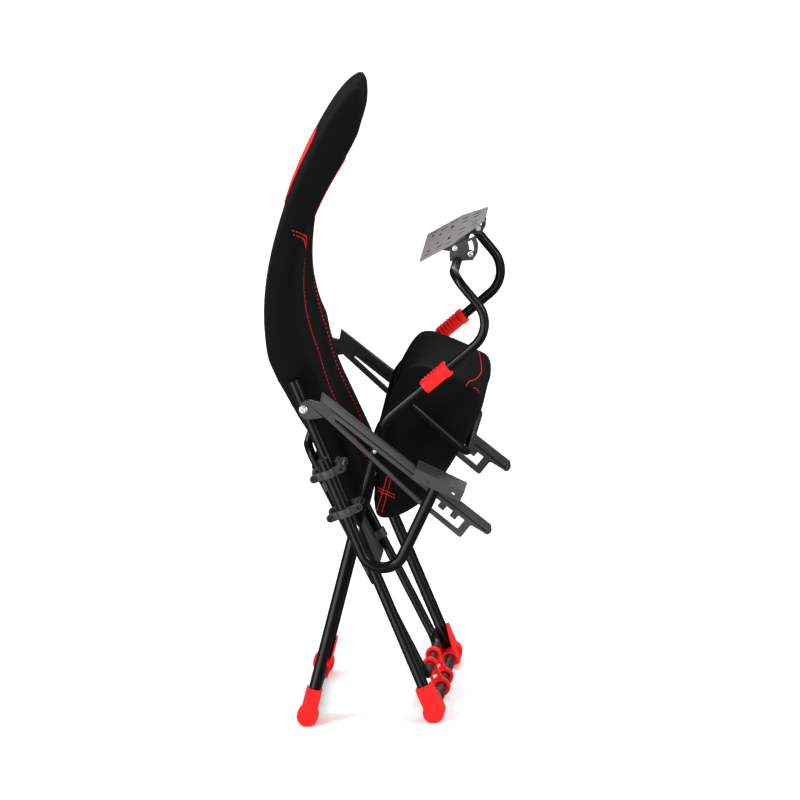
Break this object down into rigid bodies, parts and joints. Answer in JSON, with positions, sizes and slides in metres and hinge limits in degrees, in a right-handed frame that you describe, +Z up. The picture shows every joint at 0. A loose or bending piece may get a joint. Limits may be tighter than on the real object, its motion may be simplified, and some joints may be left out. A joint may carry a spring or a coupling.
{
  "type": "folding racing seat cockpit",
  "caption": "Folding racing-simulator seat with a bucket back, steering-wheel plate on a telescoping hoop, shifter bracket and pedal loop, in its folded state.",
  "frame": {"origin": "on the floor, under the middle of the folded object's bounding box", "axes": "+X towards the seat's front, +Y to the seat's left, +Z up"},
  "size_m": [0.4322, 0.6556, 1.187],
  "materials": {
    "black_tube": "satin black powder coat",
    "dark_grey_metal": "fine textured dark grey powder coat",
    "grey_plate": "fine textured mid grey coat",
    "red_plastic": "moulded red plastic",
    "black_plastic": "moulded black plastic",
    "zinc_steel": "zinc plated",
    "black_steel": "blackened",
    "black_fabric": "black suede-like fabric with red stitching"
  },
  "bodies": {
    "back_frame": {"back_tube_right": "black_tube", "back_tube_left": "black_tube", "back_hoop": "black_tube", "front_cross_tube": "black_tube", "front_foot_right": "red_plastic", "front_foot_left": "red_plastic", "pivot_bolt_right": "zinc_steel", "pivot_bolt_left": "zinc_steel", "pivot_spacer_right": "black_plastic", "pivot_spacer_left": "black_plastic", "arm_rivet_right": "zinc_steel", "arm_rivet_left": "zinc_steel", "back_pad": "black_fabric", "shifter_tube": "black_tube", "shifter_tube_plug": "black_plastic", "shifter_bracket": "dark_grey_metal", "clamp_lower_outer": "dark_grey_metal", "clamp_lower_inner": "dark_grey_metal", "clamp_upper_outer": "dark_grey_metal", "clamp_upper_inner": "dark_grey_metal", "clamp_bolt_lower_rear": "black_steel", "clamp_bolt_lower_front": "black_steel", "clamp_bolt_upper_rear": "black_steel", "clamp_bolt_upper_front": "black_steel"},
    "leg_frame": {"leg_tube_right": "black_tube", "leg_tube_left": "black_tube", "rear_cross_tube": "black_tube", "rear_foot_right": "red_plastic", "rear_foot_left": "red_plastic", "slot_pin_right": "zinc_steel", "slot_pin_left": "zinc_steel", "lock_sleeve_right": "red_plastic", "lock_sleeve_left": "red_plastic", "seat_brace": "black_tube", "seat_pan_pad": "black_fabric"},
    "right_arm": {"recline_arm_right": "dark_grey_metal"},
    "left_arm": {"recline_arm_left": "dark_grey_metal"},
    "wheel_hoop_body": {"wheel_hoop": "black_tube", "tilt_quadrant_right": "dark_grey_metal", "tilt_quadrant_left": "dark_grey_metal"},
    "wheel_plate_body": {"wheel_plate": "grey_plate", "plate_tab_right": "dark_grey_metal", "plate_tab_left": "dark_grey_metal", "tilt_bolt_right": "zinc_steel", "tilt_bolt_left": "zinc_steel", "tilt_lock_bolt_right": "zinc_steel", "tilt_lock_bolt_left": "zinc_steel"},
    "pedal_frame": {"pedal_loop": "black_tube", "pedal_clip_right": "red_plastic", "pedal_clip_left": "red_plastic"},
    "pedal_plate_body": {"pedal_plate": "dark_grey_metal", "pedal_saddle_lower_right": "dark_grey_metal", "pedal_saddle_lower_left": "dark_grey_metal", "pedal_saddle_upper_right": "dark_grey_metal", "pedal_saddle_upper_left": "dark_grey_metal"}
  },
  "joints": [
    {"name": "fold", "type": "hinge", "parent": "back_frame", "child": "leg_frame", "pos_m": [-0.06013, 0.0225, 0.381], "axis": [0, 1, 0], "range_deg": [0, 73]},
    {"name": "right_arm_swing", "type": "hinge", "parent": "back_frame", "child": "right_arm", "pos_m": [-0.14174, 0.0225, 0.618], "axis": [0, 1, 0], "range_deg": [0, 6.7]},
    {"name": "left_arm_swing", "type": "hinge", "parent": "back_frame", "child": "left_arm", "pos_m": [-0.14174, 0.0225, 0.618], "axis": [0, 1, 0], "range_deg": [0, 6.7]},
    {"name": "hoop_slide", "type": "slide", "parent": "leg_frame", "child": "wheel_hoop_body", "axis": [0.7986, 0, 0.6018], "range_m": [0, 0.05]},
    {"name": "plate_tilt", "type": "hinge", "parent": "wheel_hoop_body", "child": "wheel_plate_body", "pos_m": [0.15187, 0.0225, 0.877], "axis": [0, 1, 0], "range_deg": [-30, 0]},
    {"name": "pedal_swing", "type": "hinge", "parent": "back_frame", "child": "pedal_frame", "pos_m": [0.06435, 0.0225, 0.0195], "axis": [0, 1, 0], "range_deg": [-45, 0]},
    {"name": "pedal_plate_slide", "type": "slide", "parent": "pedal_frame", "child": "pedal_plate_body", "axis": [-0.3939, 0, 0.9191], "range_m": [-0.06, 0.04]}
  ],
  "couplings": [
    {"joint": "right_arm_swing", "follows": "fold", "ratio": 0.0908},
    {"joint": "left_arm_swing", "follows": "fold", "ratio": 0.0908}
  ]
}
